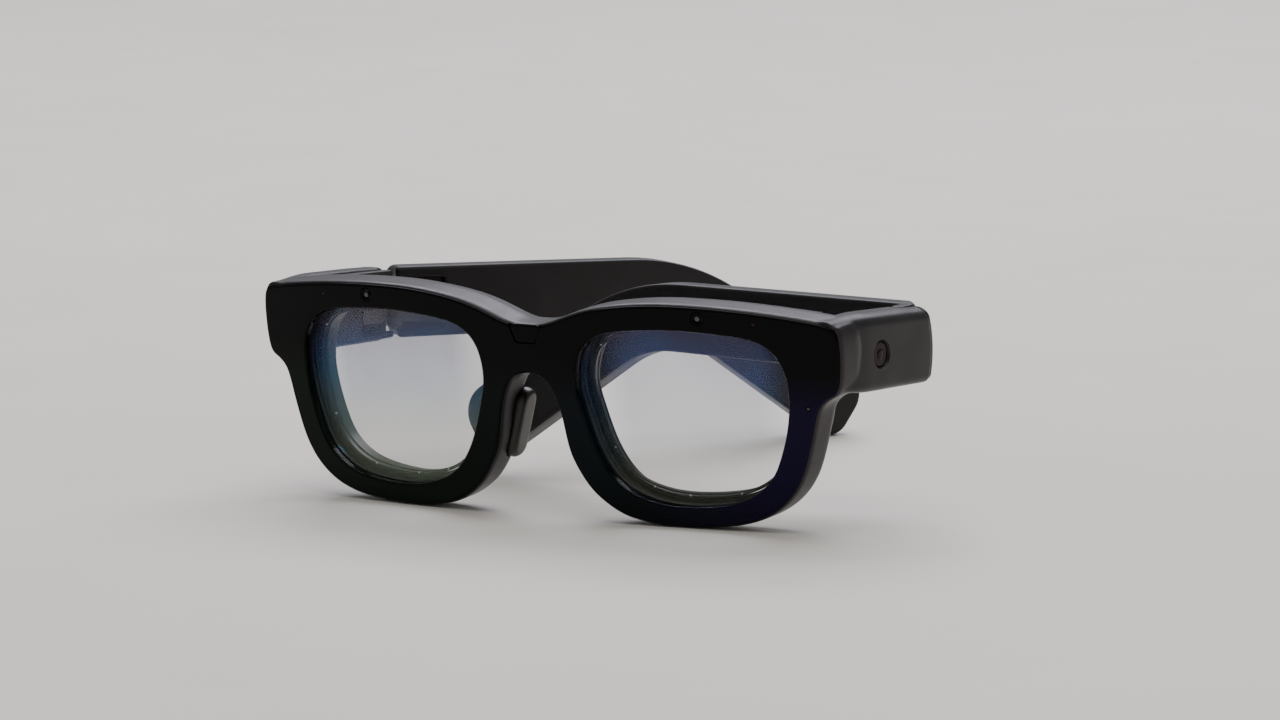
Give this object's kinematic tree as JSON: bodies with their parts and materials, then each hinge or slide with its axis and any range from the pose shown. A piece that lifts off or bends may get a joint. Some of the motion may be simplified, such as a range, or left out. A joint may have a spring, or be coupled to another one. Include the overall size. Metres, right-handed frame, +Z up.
{
  "type": "smart glasses",
  "caption": "Smart glasses with a deep glossy front, two clear display lenses, rim and side cameras, a top button and two thick folding temples.",
  "frame": {"origin": "centre of the resting footprint box, on the plane that the two rims and the open temple tip stand on, at rest with the wearer's left temple folded and the right one part open", "axes": "+X towards the wearer's left along the width of the front, +Y towards the wearer (backwards), +Z up"},
  "size_m": [0.149, 0.1418, 0.0484],
  "materials": {
    "gloss_black": "near-black high gloss, faint green and violet sheen",
    "satin_charcoal": "satin charcoal, very fine texture",
    "inner_black": "matt black",
    "lens_glass": "clear, faint grey-green tint with coloured coating reflections",
    "guide_glass": "clear, faint blue and violet sheen",
    "camera_glass": "dark glossy window",
    "circuit": "green circuit board with solder mask",
    "steel": "brushed stainless steel",
    "cell_foil": "dull foil pouch",
    "pad_rubber": "matt dark olive-brown silicone",
    "module_grey": "dark grey moulded module",
    "light_white": "translucent white"
  },
  "bodies": {
    "front": {"bridge_sensor": "module_grey", "bridge_window": "camera_glass", "brow_board": "circuit", "brow_camera_left": "camera_glass", "brow_camera_right": "camera_glass", "button_switch": "module_grey", "display_engine_left": "module_grey", "display_engine_right": "module_grey", "end_piece_board_left": "circuit", "end_piece_board_right": "circuit", "end_piece_cover_left": "satin_charcoal", "end_piece_cover_right": "satin_charcoal", "frame_leaf_left": "steel", "frame_leaf_right": "steel", "frame_screw_left": "steel", "frame_screw_right": "steel", "front_cover": "gloss_black", "front_frame": "satin_charcoal", "hinge_pin_left": "steel", "hinge_pin_right": "steel", "infrared_light_left": "camera_glass", "infrared_light_right": "camera_glass", "light_ring_left": "inner_black", "light_ring_right": "inner_black", "nose_pad_left": "pad_rubber", "nose_pad_right": "pad_rubber", "outer_lens_left": "lens_glass", "outer_lens_right": "lens_glass", "pad_arm_left": "steel", "pad_arm_right": "steel", "rear_cap_left": "inner_black", "rear_cap_right": "inner_black", "rear_cover": "satin_charcoal", "side_camera_left": "module_grey", "side_camera_right": "module_grey", "side_camera_window_left": "camera_glass", "side_camera_window_right": "camera_glass", "status_light": "light_white", "waveguide_left": "guide_glass", "waveguide_right": "guide_glass"},
    "temple_left": {"temple_shell_left": "satin_charcoal", "temple_cover_left": "satin_charcoal", "ear_piece_left": "satin_charcoal", "temple_board_left": "circuit", "battery_left": "cell_foil", "speaker_left": "module_grey", "microphone_left": "module_grey", "temple_leaf_left": "steel", "temple_screw_left": "steel"},
    "temple_right": {"temple_shell_right": "satin_charcoal", "temple_cover_right": "satin_charcoal", "ear_piece_right": "satin_charcoal", "temple_board_right": "circuit", "battery_right": "cell_foil", "speaker_right": "module_grey", "microphone_right": "module_grey", "temple_leaf_right": "steel", "temple_screw_right": "steel"},
    "button": {"action_button": "satin_charcoal"}
  },
  "joints": [
    {"name": "temple_left_fold", "type": "hinge", "parent": "front", "child": "temple_left", "pos_m": [0.0658, -0.0251, 0.0449], "axis": [0, -0.0584, -0.9983], "range_deg": [0, 92]},
    {"name": "temple_right_fold", "type": "hinge", "parent": "front", "child": "temple_right", "pos_m": [-0.0658, -0.0251, 0.0449], "axis": [0, 0.0584, 0.9983], "range_deg": [-42, 34.6]},
    {"name": "action_button_press", "type": "slide", "parent": "front", "child": "button", "axis": [0, 0, -1], "range_m": [0, 0.0004], "stiffness_N_per_m": 600}
  ]
}
